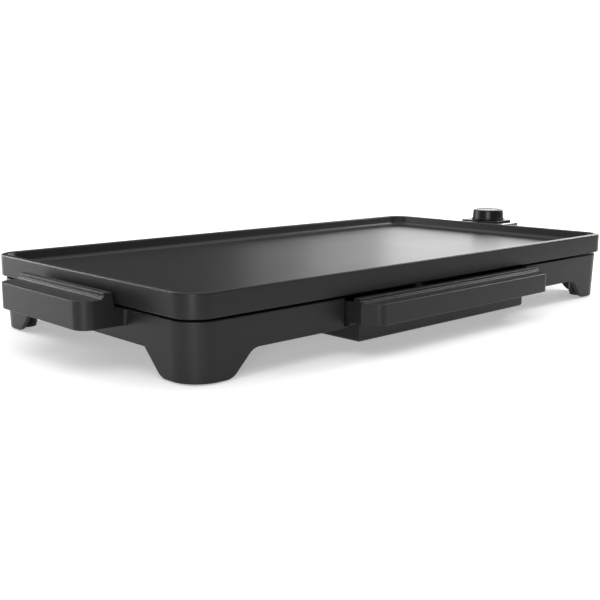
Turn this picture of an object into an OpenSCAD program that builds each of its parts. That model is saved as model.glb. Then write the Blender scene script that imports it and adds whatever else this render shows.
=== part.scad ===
// Electric griddle: a lift-off cooking plate on a legged base, with a pull-out drip tray
// at the front and a plug-in heat control at the right-hand end.
// Millimetres, +Z up. X runs along the long side, the drip tray faces -Y, and the origin
// is on the table under the middle of the whole footprint.

/* [Cooking plate] */
// Length of the plate over its rim
plate_l = 560; // [470:1:680]
// Depth of the plate over its rim
plate_w = 300; // [260:1:370]
// Radius of the plate's corners seen from above
plate_corner = 21; // [12:1:30]
// Height of the plate from the skirt's lower edge to the rim
plate_h = 19; // [18:0.5:24]
// Width of the rim's top
rim_t = 6; // [5:0.5:9]
// Thickness of the skirt
skirt_t = 4; // [3:0.5:5]
// Depth of the cooking surface below the rim
pan_depth = 11; // [8:0.5:12]
// Thickness of the plate's floor
floor_t = 4; // [3:0.5:5]
// Diameter of the grease drain
drain_d = 14; // [8:1:20]

/* [Base] */
// Height of the base's lower edge above the table
base_clear = 21; // [17:0.5:30]
// Height of the base's side walls
base_h = 25.5; // [22:0.5:36]
// How far the base's walls stand in from the plate's rim
base_inset = 2.5; // [1:0.5:6]
// Radius of the base's corners seen from above
base_corner = 24; // [18:1:32]
// Thickness of the base's walls
base_wall = 3; // [2:0.25:4]
// Thickness of the base's floor
base_floor = 2.5; // [2:0.25:4]
// Shadow gap between the base and the plate's skirt
seat_gap = 2; // [1:0.25:4]

/* [Legs and feet] */
// Thickness of the angled legs
leg_wall = 4; // [3:0.5:6]
// Length of a leg's foot edge along X
leg_arm_x = 37; // [30:1:50]
// Length of a leg's foot edge along Y
leg_arm_y = 38; // [30:1:50]
// Diameter of the rubber feet
foot_d = 18; // [14:1:20]
// How far the rubber feet stand out below the legs
foot_out = 0.8; // [0.5:0.1:2]

/* [Side handles] */
// Length of a side handle along Y
handle_l = 134; // [110:1:160]
// How far a side handle stands out from the base
handle_out = 38.5; // [32:0.5:50]
// Thickness of a side handle
handle_h = 22; // [18:0.5:28]
// Height of a handle's underside above the base's lower edge
handle_up = 12.5; // [9:0.5:15]
// Radius of a handle's outer corners
handle_corner = 12; // [6:1:18]
// Thickness of a handle's walls
handle_wall = 3; // [2:0.25:4]
// Height of the heat guard that stands on a handle or on the tray's grip
guard_h = 4.7; // [3:0.1:8]
// Thickness of the heat guard
guard_t = 7; // [4:0.5:10]

/* [Drip tray] */
// Sideways offset of the drip tray from the plate's middle
tray_x = 2; // [-10:1:10]
// Width of the opening for the tray
bay_w = 256; // [200:1:300]
// Width of the tray's pan
pan_w = 232; // [180:1:270]
// Length of the tray's pan from front to back
pan_l = 110; // [80:1:125]
// Height of the pan
pan_h = 18; // [12:0.5:19]
// Thickness of the pan's walls
pan_wall = 2; // [1.5:0.25:3]
// Width of the tray's grip at its front
grip_w = 241; // [180:1:244]
// How far the grip stands out in front of the base
grip_out = 31; // [28:0.5:40]
// Height of the grip
grip_h = 17.7; // [14:0.1:20]
// Radius of the grip's front corners
grip_corner = 8; // [4:1:10]
// Angle at which the grip's sides spread towards the guard
grip_flare = 27; // [0:1:30]

/* [Heating element] */
// Diameter of the sheathed element
tube_d = 8; // [6:0.5:9]
// Radius of the element's bends
bend_r = 14; // [12:1:18]
// Distance from the plate's ends to the element
tube_inset = 70; // [60:1:80]
// Distance from the plate's front edge to the element
tube_front = 60; // [54:1:80]
// Distance from the plate's back edge to the element
tube_back = 34; // [30:1:38]
// Spacing between the two terminal pins
pin_pitch = 44; // [36:1:50]
// Diameter of the terminal pins
pin_d = 4.5; // [4:0.25:5]

/* [Heat control] */
// Width of the control's housing along Y
ctl_w = 92; // [84:1:110]
// Length of the control's housing along X
ctl_l = 54; // [50:1:70]
// Thickness of the control's housing
ctl_h = 27.5; // [26:0.5:29]
// Sideways offset of the control from the plate's middle
ctl_y = 44; // [30:1:50]
// Gap between the plate's rim and the control's housing
ctl_gap = 6; // [4:0.5:10]
// Radius of the housing's upright corners
ctl_corner = 10; // [8:1:12]
// Thickness of the housing's walls
ctl_wall = 2; // [1.6:0.2:2.4]
// Diameter of the temperature probe
probe_d = 6.2; // [5:0.1:6.6]
// Length of the probe beyond the plug block
probe_l = 70; // [50:1:90]
// Diameter of the dial knob
knob_d = 39; // [34:1:40]
// Height of the dial knob
knob_h = 12.5; // [10:0.5:16]
// Diameter of the hole for the mains cord
cord_d = 7.2; // [6:0.1:8]

/* [Clearances] */
// Sliding clearance around the drip tray
slide_gap = 1.5; // [1:0.1:3]
// Vertical clearance under the tray's flanges
ride_gap = 0.3; // [0.2:0.1:0.6]
// Clearance around pieces that are plugged in
plug_gap = 3; // [2:0.25:4]
// Radial running clearance of the spindle
spindle_gap = 0.06; // [0.02:0.01:0.1]
// Clearance of screws, studs and sleeves in their holes
hole_gap = 0.1; // [0.05:0.01:0.2]

/* [Hidden] */

$fn = 64;
EPS = 0.01;
OVER = 1;          // overshoot of a cutting shape
FUSE = 1.5;        // how far joined shapes sink into each other
satin_black = [0.07, 0.07, 0.075];
coated_black = [0.1, 0.1, 0.105];
gloss_black = [0.03, 0.03, 0.035];
steel = [0.66, 0.67, 0.68];

// Heights above the table
base_z = base_clear;
base_top = base_z + base_h;
skirt_z = base_top + seat_gap;
rim_z = skirt_z + plate_h;
cook_z = rim_z - pan_depth;
under_z = cook_z - floor_t;
floor_z = base_z + base_floor;

// Half sizes of the base
base_x = plate_l / 2 - base_inset;
base_y = plate_w / 2 - base_inset;

// Side handles, with distances outwards from the base's wall
handle_z = base_z + handle_up;
handle_top = handle_z + handle_h;
guard_far = handle_out - 20;
guard_near = guard_far - guard_t;
guard_lean = 3;
rib_h = 1.4;

// Legs and feet
leg_slope = 20;
post_r = foot_d / 2 + 1;
post_inset = base_corner - (base_corner - leg_wall - foot_d / 2 - 0.7) / sqrt(2);
foot_t = 3.2;
foot_stem_r = 3;
foot_stem_h = 8;

// Plate rests: posts on the base, pads on the posts and studs under the plate
rest_x = plate_l / 2 - 50;
rest_y = plate_w / 2 - 32;
rest_post_r = 7;
rest_pad_r = 8;
stud_r = 4;
stud_l = 7.5;
stud_gap = 0.6;
rest_post_z = base_top;

// Heat reflector
sheet_t = 0.8;
sheet_z = floor_z + 7.5;
sheet_gap = 3.5;
sheet_rim_h = 7;
sheet_x = base_x - base_wall - sheet_gap;
sheet_y = base_y - base_wall - sheet_gap;
sheet_post_x = sheet_x - 66;
sheet_post_y = sheet_y - 20;
sheet_post_r = 4;
small_screw_r = 1.4;
small_head_r = 3;
small_head_h = 1.8;
drain_y = -plate_w / 2 + 32;
spout_r = drain_d / 2 + 2;
spout_z = sheet_z - 2.6;

// Drip tray
pan_top = floor_z + ride_gap + 2.6;
pan_z = pan_top - pan_h;
flange_t = 2.6;
flange_w = bay_w - 2 * slide_gap;
pan_front = -base_y - 4.5;
pan_back = pan_front + pan_l;
flange_front = pan_front - 6;
flange_rear = pan_front + 8;
shelf_t = 2.5;
grip_y = -base_y - grip_out;
guard_y = grip_y + 15.5;
grip_z = base_top - 3 - grip_h;
grip_top = grip_z + grip_h;
tray_guard_top = grip_top + 3.5;
grip_wall = 3;
rail_w = bay_w - pan_w - 5;
bay_wall = 2.5;
bay_wall_h = 5;
tray_screw_x = pan_w / 2 - 26;
tray_screw_y = pan_front + 2.5;

// Heating element, pins and probe share one height
pin_z = under_z - 6.1;
run_x = plate_l / 2 - tube_inset;
run_front = -plate_w / 2 + tube_front;
run_back = plate_w / 2 - tube_back;
tube_r = tube_d / 2;
ridge_w = tube_d + 5;
ridge_z = pin_z - 1.6;
bracket_x = plate_l / 2 - 24;
bracket_t = 1.2;
bracket_w = pin_pitch + 26;
tube_end = bracket_x + bracket_t + 0.8;
pin_end = plate_l / 2 + 2;
insulator_l = 5;
insulator_r = 3.3;
pin_r = pin_d / 2;
bracket_flange = 20;
bracket_screw_x = bracket_x - 9;
bracket_screw_y = bracket_w / 2 - 4;

// Plug block, sleeves and probe
block_x = plate_l / 2 - 14;
block_l = 26;
block_w = pin_pitch + 18;
block_h = 10.4;
sleeve_r = pin_r + 1.3;
sleeve_x = block_x + 2;
sleeve_l = 22;
probe_r = probe_d / 2;
probe_end = block_x - probe_l;
probe_tail = 8;
well_wall = 1.1;
well_gap = 0.3;
well_r = probe_r + well_gap + well_wall;
well_boss_w = 2 * well_r + 9;

// Heat control
ctl_x0 = plate_l / 2 + ctl_gap;
ctl_x1 = ctl_x0 + ctl_l;
ctl_top = rim_z - 2;
ctl_z = ctl_top - ctl_h;
ctl_split = ctl_z + ctl_h / 2;
dial_x = ctl_x0 + 29;
dial_y = ctl_y - 14;
lamp_x = dial_x + 2;
lamp_y = ctl_y + 11;
island_h = 2;
island_l = 40;
island_w = 52;
island_x = ctl_x1 - 3 - island_l / 2;
island_y = ctl_y - 10;
spindle_r = 3;
bush_r = 5;
bush_h = 8.5;
bush_top = ctl_top + island_h - 0.6;
knob_z = ctl_top + island_h + 0.5;
knob_floor = 3;
spindle_top = knob_z + knob_h - knob_floor;
spindle_low = ctl_split + 1.5;
lens_r = 3.5;
lens_out = 0.2;
boss_r = 3.6;
boss_inset = 6.5;
screw_r = 1.25;
gland_y = ctl_y + 20;
gland_z = ctl_split;
gland_neck = 5.5;
gland_r = 7;
gland_out = 10;

// Right-hand handle has a bay for the control
ctl_bay_y = ctl_y - ctl_w / 2 - 2.5;
ctl_bay_z = handle_z + handle_wall;

// Overall footprint, used to centre the origin
left_end = -base_x - handle_out;
right_end = ctl_x1 + gland_out;
mid_x = (left_end + right_end) / 2;
mid_y = (grip_y + plate_w / 2) / 2;

function corner_signs() = [[-1, -1], [1, -1], [1, 1], [-1, 1]];

// Everything below is drawn about the plate's middle and moved as one
module placed() {
    translate([-mid_x, -mid_y, 0]) children();
}

// Rectangle with round corners, centred
module round_rect(l, w, r) {
    square([l - 2 * r, w], center = true);
    square([l, w - 2 * r], center = true);
    for (s = corner_signs())
        translate([s[0] * (l / 2 - r), s[1] * (w / 2 - r)]) circle(r);
}

module round_block(l, w, r, z0, z1) {
    translate([0, 0, z0]) linear_extrude(z1 - z0) round_rect(l, w, r);
}

module box(lo, hi) {
    translate(lo) cube([hi[0] - lo[0], hi[1] - lo[1], hi[2] - lo[2]]);
}

// Upright cylinder between two heights
module post(x, y, r, z0, z1) {
    translate([x, y, z0]) cylinder(r = r, h = z1 - z0);
}

// Cylinder lying along X
module rod_x(x0, x1, y, z, r) {
    translate([x0, y, z]) rotate([0, 90, 0]) cylinder(r = r, h = x1 - x0);
}

module at_corners(x, y) {
    for (s = corner_signs())
        translate([s[0] * x, s[1] * y, 0]) children();
}

// ---------------------------------------------------------------- base

// Side outline of the legs: open in the middle, sloping up to the base
module leg_profile(half, arm) {
    for (s = [-1, 1])
        polygon([[s * (half + OVER), foot_out], [s * (half - arm), foot_out],
                 [s * (half - arm - leg_slope), base_z + EPS], [s * (half + OVER), base_z + EPS]]);
}

module legs() {
    intersection() {
        difference() {
            round_block(2 * base_x, 2 * base_y, base_corner, foot_out, base_z + EPS);
            round_block(2 * (base_x - leg_wall), 2 * (base_y - leg_wall), base_corner - leg_wall,
                        foot_out - OVER, base_z + OVER);
        }
        rotate([90, 0, 0]) translate([0, 0, -base_y - OVER])
            linear_extrude(2 * (base_y + OVER)) leg_profile(base_x, leg_arm_x);
        rotate([90, 0, 90]) translate([0, 0, -base_x - OVER])
            linear_extrude(2 * (base_x + OVER)) leg_profile(base_y, leg_arm_y);
    }
}

// Plan of a handle, with x outwards from the base's wall
module handle_plan(wall) {
    r = handle_corner - wall;
    out = handle_out - wall;
    half = handle_l / 2 - wall;
    translate([-FUSE + wall * 2, -half]) square([out - r + FUSE - wall * 2, 2 * half]);
    translate([0, -half + r]) square([out, 2 * (half - r)]);
    for (s = [-1, 1]) translate([out - r, s * (half - r)]) circle(r);
}

// Section of a handle: x outwards, y upwards
module handle_section() {
    polygon([[-FUSE, handle_z], [handle_out + OVER, handle_z], [handle_out + OVER, handle_top],
             [guard_far + rib_h, handle_top], [guard_far + rib_h, handle_top + rib_h],
             [guard_far, handle_top + rib_h], [guard_far, handle_top + guard_h],
             [guard_near, handle_top + guard_h], [guard_near - guard_lean, base_top],
             [-FUSE, base_top]]);
}

// Section of the hollow under a handle
module handle_hollow_section() {
    polygon([[handle_wall, handle_z - OVER], [handle_out, handle_z - OVER],
             [handle_out, handle_top - handle_wall],
             [guard_near + handle_wall, handle_top - handle_wall],
             [guard_near, base_top - handle_wall], [handle_wall, base_top - handle_wall]]);
}

module handle_prism() {
    rotate([90, 0, 0]) translate([0, 0, -handle_l]) linear_extrude(2 * handle_l) children();
}

module handle_shape() {
    intersection() {
        translate([0, 0, handle_z]) linear_extrude(handle_h + guard_h) handle_plan(0);
        handle_prism() handle_section();
    }
}

module handle_hollow() {
    intersection() {
        translate([0, 0, handle_z - OVER]) linear_extrude(handle_h) handle_plan(handle_wall);
        handle_prism() handle_hollow_section();
    }
}

module left_handle() {
    translate([-base_x, 0, 0]) mirror([1, 0, 0]) difference() {
        handle_shape();
        handle_hollow();
    }
}

// The right-hand handle is cut down to a shelf where the control lies
module right_handle() {
    translate([base_x, 0, 0]) difference() {
        handle_shape();
        box([0, ctl_bay_y, ctl_bay_z], [handle_out + OVER, handle_l, rim_z]);
        intersection() {
            handle_hollow();
            box([0, -handle_l, 0], [handle_out, ctl_bay_y - handle_wall, rim_z]);
        }
    }
}

module base_walls() {
    difference() {
        round_block(2 * base_x, 2 * base_y, base_corner, base_z, base_top);
        round_block(2 * (base_x - base_wall), 2 * (base_y - base_wall),
                    base_corner - base_wall, floor_z, base_top + OVER);
        tray_opening();
        vents();
    }
}

// The front wall is open for the tray, and the floor for the pan that hangs through it
module tray_opening() {
    translate([tray_x, 0, 0]) {
        box([-bay_w / 2, -base_y - OVER, floor_z], [bay_w / 2, -base_y + base_wall + OVER, rim_z]);
        box([-bay_w / 2 + rail_w / 2, -base_y - OVER, base_z - OVER],
            [bay_w / 2 - rail_w / 2, pan_back + slide_gap, floor_z + OVER]);
    }
}

module vents() {
    slots = 8;
    slot_w = 6;
    slot_l = 60;
    pitch = 14;
    for (s = [-1, 1]) for (i = [0 : slots - 1])
        translate([s * (bay_w / 2 + 24 + i * pitch) - slot_w / 2, -slot_l / 2, base_z - OVER])
            cube([slot_w, slot_l, base_floor + 2 * OVER]);
}

// Low walls around the tray's bay
module bay_walls() {
    translate([tray_x, 0, 0]) {
        for (s = [-1, 1])
            translate([s * (bay_w / 2 + bay_wall / 2), 0, 0])
                box([-bay_wall / 2, -base_y + base_wall - FUSE, floor_z - EPS],
                    [bay_wall / 2, pan_back + slide_gap, floor_z + bay_wall_h]);
        box([-bay_w / 2 - bay_wall, pan_back + slide_gap, floor_z - EPS],
            [bay_w / 2 + bay_wall, pan_back + slide_gap + bay_wall, floor_z + bay_wall_h]);
    }
}

module base_housing() {
    color(satin_black) placed() difference() {
        union() {
            base_walls();
            bay_walls();
            legs();
            left_handle();
            right_handle();
            at_corners(base_x - post_inset, base_y - post_inset) post(0, 0, post_r, foot_t, floor_z);
            at_corners(rest_x, rest_y) post(0, 0, rest_post_r, floor_z - EPS, rest_post_z);
            at_corners(sheet_post_x, sheet_post_y)
                post(0, 0, sheet_post_r, floor_z - EPS, sheet_z);
        }
        at_corners(base_x - post_inset, base_y - post_inset)
            post(0, 0, foot_stem_r + hole_gap, foot_t - OVER, foot_t + foot_stem_h + 1);
        at_corners(rest_x, rest_y)
            post(0, 0, stud_r + stud_gap, under_z - stud_l - 2, rest_post_z + OVER);
        at_corners(sheet_post_x, sheet_post_y)
            post(0, 0, small_screw_r + hole_gap, floor_z, sheet_z + OVER);
        // Open notch in the right-hand wall for the plug block
        box([base_x - base_wall - OVER, ctl_y - block_w / 2 - plug_gap, pin_z - block_h / 2 - plug_gap],
            [base_x + OVER, ctl_y + block_w / 2 + plug_gap, rim_z]);
    }
}

module rubber_feet() {
    color([0.05, 0.05, 0.05]) placed()
        at_corners(base_x - post_inset, base_y - post_inset) {
            post(0, 0, foot_d / 2, 0, foot_t);
            post(0, 0, foot_stem_r, foot_t - EPS, foot_t + foot_stem_h);
        }
}

// Heat-resistant pads between the base's posts and the plate
module plate_rests() {
    color([0.75, 0.3, 0.2]) placed() at_corners(rest_x, rest_y) difference() {
        post(0, 0, rest_pad_r, rest_post_z, under_z - hole_gap);
        post(0, 0, stud_r + stud_gap, rest_post_z - OVER, under_z + OVER);
    }
}

module heat_reflector() {
    post_gap = 2;
    color(steel) placed() difference() {
        round_block(2 * sheet_x, 2 * sheet_y, base_corner - base_wall, sheet_z, sheet_z + sheet_rim_h);
        round_block(2 * (sheet_x - sheet_t), 2 * (sheet_y - sheet_t),
                    base_corner - base_wall - sheet_t, sheet_z + sheet_t, sheet_z + sheet_rim_h + OVER);
        at_corners(rest_x, rest_y)
            post(0, 0, rest_post_r + post_gap, sheet_z - OVER, sheet_z + sheet_rim_h);
        at_corners(sheet_post_x, sheet_post_y)
            post(0, 0, small_screw_r + hole_gap, sheet_z - OVER, sheet_z + sheet_rim_h);
        post(tray_x, drain_y, spout_r + 4, sheet_z - OVER, sheet_z + sheet_rim_h);
    }
}

module reflector_screws() {
    color(steel) placed() at_corners(sheet_post_x, sheet_post_y) {
        post(0, 0, small_screw_r, floor_z + 1, sheet_z + sheet_t + EPS);
        post(0, 0, small_head_r, sheet_z + sheet_t, sheet_z + sheet_t + small_head_h);
    }
}

// ---------------------------------------------------------------- plate

// Sweeps its child section along the element's loop
module along_element() {
    y_low = ctl_y - pin_pitch / 2;
    y_high = ctl_y + pin_pitch / 2;
    straight([tube_end, y_low], 180, tube_end - run_x - bend_r) children();
    bend([run_x + bend_r, y_low - bend_r], 90) children();
    straight([run_x, y_low - bend_r], 270, y_low - 2 * bend_r - run_front) children();
    bend([run_x - bend_r, run_front + bend_r], 270) children();
    straight([run_x - bend_r, run_front], 180, 2 * (run_x - bend_r)) children();
    bend([-run_x + bend_r, run_front + bend_r], 180) children();
    straight([-run_x, run_front + bend_r], 90, run_back - run_front - 2 * bend_r) children();
    bend([-run_x + bend_r, run_back - bend_r], 90) children();
    straight([-run_x + bend_r, run_back], 0, 2 * (run_x - bend_r)) children();
    bend([run_x - bend_r, run_back - bend_r], 0) children();
    straight([run_x, run_back - bend_r], 270, run_back - y_high - 2 * bend_r) children();
    bend([run_x + bend_r, y_high + bend_r], 180) children();
    straight([run_x + bend_r, y_high], 0, tube_end - run_x - bend_r) children();
}

// Straight run from a point, with its section at pin height
module straight(from, heading, length) {
    translate([from[0], from[1], pin_z]) rotate([0, 0, heading]) rotate([90, 0, 90])
        linear_extrude(length) children();
}

// Quarter bend about a centre, starting at an angle
module bend(centre, start) {
    translate([centre[0], centre[1], pin_z]) rotate([0, 0, start])
        rotate_extrude(angle = 90) translate([bend_r, 0]) children();
}

// Ridge cast under the floor that holds the element
module ridge_section() {
    difference() {
        translate([-ridge_w / 2, ridge_z - pin_z]) square([ridge_w, under_z - ridge_z + EPS]);
        circle(tube_r + hole_gap);
        translate([-tube_r - hole_gap, ridge_z - pin_z - OVER])
            square([tube_d + 2 * hole_gap, pin_z - ridge_z + OVER]);
    }
}

module griddle_plate() {
    notch_w = block_w + 2 * plug_gap;
    color(coated_black) placed() difference() {
        union() {
            difference() {
                round_block(plate_l, plate_w, plate_corner, skirt_z, rim_z);
                round_block(plate_l - 2 * rim_t, plate_w - 2 * rim_t, plate_corner - rim_t,
                            cook_z, rim_z + OVER);
                round_block(plate_l - 2 * skirt_t, plate_w - 2 * skirt_t, plate_corner - skirt_t,
                            skirt_z - OVER, under_z);
            }
            along_element() ridge_section();
            box([probe_end - 4, ctl_y - well_boss_w / 2, ridge_z],
                [bracket_x - bracket_flange - 1, ctl_y + well_boss_w / 2, under_z + EPS]);
            at_corners(rest_x, rest_y) post(0, 0, stud_r, under_z - stud_l, under_z + EPS);
            for (s = [-1, 1])
                post(bracket_screw_x, ctl_y + s * bracket_screw_y, 4.5, under_z - 3, under_z + EPS);
            post(tray_x, drain_y, spout_r + 2, under_z - 3, under_z + EPS);
        }
        post(tray_x, drain_y, drain_d / 2, under_z - 4, cook_z + OVER);
        post(tray_x, drain_y, spout_r + hole_gap, under_z - 4, under_z - EPS);
        rod_x(probe_end - 1, bracket_x, ctl_y, pin_z, well_r + hole_gap);
        // Channel for the plug block and the bracket behind the skirt
        box([bracket_x - bracket_flange - 1 + EPS, ctl_y - bracket_w / 2 - 1, ridge_z - OVER],
            [bracket_x + bracket_t + 2, ctl_y + bracket_w / 2 + 1, under_z - 3]);
        box([bracket_x + bracket_t + 1, ctl_y - notch_w / 2, skirt_z - OVER],
            [plate_l / 2 + OVER, ctl_y + notch_w / 2, under_z - EPS]);
        for (s = [-1, 1])
            post(bracket_screw_x, ctl_y + s * bracket_screw_y, small_screw_r + hole_gap,
                 under_z - 4, under_z + 2.5);
    }
}

module drain_spout() {
    color(steel) placed() difference() {
        post(tray_x, drain_y, spout_r, spout_z, under_z - 2 * EPS);
        post(tray_x, drain_y, drain_d / 2, spout_z - OVER, under_z + OVER);
    }
}

module heating_element() {
    color([0.35, 0.35, 0.36]) placed() along_element() circle(tube_r);
}

module pin_insulators() {
    color([0.92, 0.9, 0.85]) placed() for (s = [-1, 1]) difference() {
        rod_x(tube_end, tube_end + insulator_l, ctl_y + s * pin_pitch / 2, pin_z, insulator_r);
        rod_x(tube_end - OVER, tube_end + insulator_l + OVER, ctl_y + s * pin_pitch / 2, pin_z,
              pin_r + hole_gap);
    }
}

module terminal_pins() {
    color(steel) placed() for (s = [-1, 1])
        rod_x(tube_end + EPS, pin_end, ctl_y + s * pin_pitch / 2, pin_z, pin_r);
}

// Steel bracket that guards the element's ends
module terminal_bracket() {
    top = under_z - 3 - hole_gap;
    color(steel) placed() difference() {
        union() {
            box([bracket_x, ctl_y - bracket_w / 2, pin_z - 6],
                [bracket_x + bracket_t, ctl_y + bracket_w / 2, top]);
            for (s = [-1, 1]) translate([0, ctl_y + s * bracket_screw_y, 0])
                box([bracket_x - bracket_flange + 6, -4, top - bracket_t], [bracket_x + EPS, 4, top]);
        }
        for (s = [-1, 1]) {
            rod_x(bracket_x - OVER, bracket_x + bracket_t + OVER, ctl_y + s * pin_pitch / 2, pin_z,
                  tube_r + hole_gap);
            post(bracket_screw_x, ctl_y + s * bracket_screw_y, small_screw_r + hole_gap,
                 top - 4, top + OVER);
        }
        rod_x(bracket_x - OVER, bracket_x + bracket_t + OVER, ctl_y, pin_z, well_r + hole_gap);
    }
}

module bracket_screws() {
    top = under_z - 3 - hole_gap - bracket_t;
    color(steel) placed() for (s = [-1, 1]) {
        post(bracket_screw_x, ctl_y + s * bracket_screw_y, small_screw_r, top - EPS, under_z + 2);
        post(bracket_screw_x, ctl_y + s * bracket_screw_y, small_head_r, top - small_head_h, top);
    }
}

// Closed tube that the probe slides into
module probe_well() {
    color(steel) placed() difference() {
        rod_x(probe_end - 1 + EPS, bracket_x + bracket_t + 1, ctl_y, pin_z, well_r);
        rod_x(probe_end - 1 + well_wall, bracket_x + bracket_t + 2, ctl_y, pin_z,
              probe_r + well_gap);
    }
}

// ---------------------------------------------------------------- drip tray

module drip_tray() {
    color(satin_black) placed() translate([tray_x, 0, 0]) difference() {
        union() {
            box([-pan_w / 2, pan_front, pan_z], [pan_w / 2, pan_back, pan_top]);
            box([-flange_w / 2, pan_front, pan_top - flange_t], [flange_w / 2, pan_back, pan_top]);
            box([-pan_w / 2, flange_front, pan_top - flange_t],
                [pan_w / 2, flange_rear, pan_top]);
        }
        box([-pan_w / 2 + pan_wall, flange_rear, pan_z + pan_wall],
            [pan_w / 2 - pan_wall, pan_back - pan_wall, pan_top + OVER]);
        box([-pan_w / 2 + pan_wall, pan_front + pan_wall, pan_z + pan_wall],
            [pan_w / 2 - pan_wall, flange_rear + EPS, pan_top - flange_t]);
        for (s = [-1, 0, 1])
            post(s * tray_screw_x, tray_screw_y, small_screw_r + hole_gap,
                 pan_top - flange_t - OVER, pan_top + OVER);
    }
}

// Plan of the grip: round at its front corners, with sides that spread towards the guard
module grip_plan(wall) {
    r = grip_corner - wall;
    mid = [grip_w / 2 - grip_corner, grip_y + grip_corner];
    touch = [mid[0] + r * cos(grip_flare), mid[1] - r * sin(grip_flare)];
    back = guard_y + FUSE - wall;
    end = touch[0] + (back - touch[1]) * tan(grip_flare);
    polygon([[-end, back], [-touch[0], touch[1]], [-mid[0], mid[1] - r], [mid[0], mid[1] - r],
             [touch[0], touch[1]], [end, back]]);
    for (s = [-1, 1]) translate([s * mid[0], mid[1]]) circle(r);
}

module tray_front() {
    cheek_t = 3;
    cheek_back = -base_y + 1.5;
    shelf_z = pan_top + hole_gap;
    color(satin_black) placed() translate([tray_x, 0, 0]) difference() {
        union() {
            translate([0, 0, grip_z]) linear_extrude(grip_h) grip_plan(0);
            box([-flange_w / 2, guard_y, shelf_z], [flange_w / 2, guard_y + guard_t, tray_guard_top]);
            box([-flange_w / 2, guard_y - rib_h, grip_top - EPS],
                [flange_w / 2, guard_y + EPS, grip_top + rib_h]);
            box([-pan_w / 2, guard_y, shelf_z], [pan_w / 2, flange_rear, shelf_z + shelf_t]);
            for (s = [-1, 1]) translate([s * (flange_w / 2 - cheek_t / 2), 0, 0])
                box([-cheek_t / 2, guard_y + EPS, shelf_z], [cheek_t / 2, cheek_back, grip_top]);
        }
        // Finger recess under the grip
        translate([0, 0, grip_z - OVER]) linear_extrude(grip_h + OVER - grip_wall) grip_plan(grip_wall);
        for (s = [-1, 0, 1])
            post(s * tray_screw_x, tray_screw_y, small_screw_r + hole_gap,
                 shelf_z - OVER, shelf_z + shelf_t + OVER);
    }
}

module tray_screws() {
    head_z = pan_top + hole_gap + shelf_t;
    color(steel) placed() translate([tray_x, 0, 0]) for (s = [-1, 0, 1]) {
        post(s * tray_screw_x, tray_screw_y, small_screw_r, pan_top - flange_t - 1, head_z + EPS);
        post(s * tray_screw_x, tray_screw_y, small_head_r, head_z, head_z + small_head_h);
    }
}

// ---------------------------------------------------------------- heat control

module ctl_centred() {
    translate([(ctl_x0 + ctl_x1) / 2, ctl_y, 0]) children();
}

module ctl_bosses(z0, z1, r) {
    ctl_centred() at_corners(ctl_l / 2 - boss_inset, ctl_w / 2 - boss_inset) post(0, 0, r, z0, z1);
}

// Clear space for the plug block through the housing's inner wall
module block_window() {
    box([ctl_x0 - OVER, ctl_y - block_w / 2 - hole_gap, pin_z - block_h / 2 - hole_gap],
        [ctl_x0 + ctl_wall + OVER, ctl_y + block_w / 2 + hole_gap, pin_z + block_h / 2 + hole_gap]);
}

module gland_hole() {
    rod_x(ctl_x1 - ctl_wall - OVER, ctl_x1 + OVER, gland_y, gland_z, gland_neck + hole_gap);
}

module control_base() {
    color(satin_black) placed() difference() {
        union() {
            ctl_centred() difference() {
                round_block(ctl_l, ctl_w, ctl_corner, ctl_z, ctl_split);
                round_block(ctl_l - 2 * ctl_wall, ctl_w - 2 * ctl_wall, ctl_corner - ctl_wall,
                            ctl_z + ctl_wall, ctl_split + OVER);
            }
            ctl_bosses(ctl_z + EPS, ctl_split, boss_r);
        }
        ctl_bosses(ctl_z - OVER, ctl_split + OVER, screw_r + hole_gap);
        ctl_bosses(ctl_z - OVER, ctl_z + small_head_h + 0.4, small_head_r + hole_gap);
        block_window();
        gland_hole();
    }
}

module control_cover() {
    color(gloss_black) placed() difference() {
        union() {
            ctl_centred() difference() {
                round_block(ctl_l, ctl_w, ctl_corner, ctl_split, ctl_top);
                round_block(ctl_l - 2 * ctl_wall, ctl_w - 2 * ctl_wall, ctl_corner - ctl_wall,
                            ctl_split - OVER, ctl_top - ctl_wall);
            }
            ctl_bosses(ctl_split, ctl_top - ctl_wall + EPS, boss_r);
        }
        ctl_bosses(ctl_split - OVER, ctl_split + 9, screw_r + hole_gap);
        post(dial_x, dial_y, bush_r + hole_gap, ctl_top - ctl_wall - OVER, ctl_top + OVER);
        post(lamp_x, lamp_y, lens_r + hole_gap, ctl_top - ctl_wall - OVER, ctl_top + OVER);
        block_window();
        gland_hole();
    }
}

module control_screws() {
    color(steel) placed() {
        ctl_bosses(ctl_z + small_head_h + 0.3, ctl_split + 8, screw_r);
        ctl_bosses(ctl_z + 0.4, ctl_z + small_head_h + 0.4 - EPS, small_head_r);
    }
}

// Raised panel that carries the dial and the pilot light
module dial_plate() {
    color(satin_black) placed() difference() {
        translate([island_x, island_y, 0])
            round_block(island_l, island_w, ctl_corner - 3, ctl_top, ctl_top + island_h);
        post(dial_x, dial_y, bush_r + hole_gap, ctl_top - OVER, ctl_top + island_h + OVER);
        post(lamp_x, lamp_y, lens_r + hole_gap, ctl_top - OVER, ctl_top + island_h + OVER);
    }
}

// Heat-resistant block that holds the contacts and goes under the plate's rim
module contact_block() {
    color([0.12, 0.09, 0.08]) placed() difference() {
        box([block_x, ctl_y - block_w / 2, pin_z - block_h / 2],
            [block_x + block_l, ctl_y + block_w / 2, pin_z + block_h / 2]);
        for (s = [-1, 1])
            rod_x(block_x - OVER, block_x + block_l + OVER, ctl_y + s * pin_pitch / 2, pin_z,
                  sleeve_r + hole_gap);
        rod_x(block_x - OVER, block_x + block_l + OVER, ctl_y, pin_z, probe_r + hole_gap);
    }
}

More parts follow.
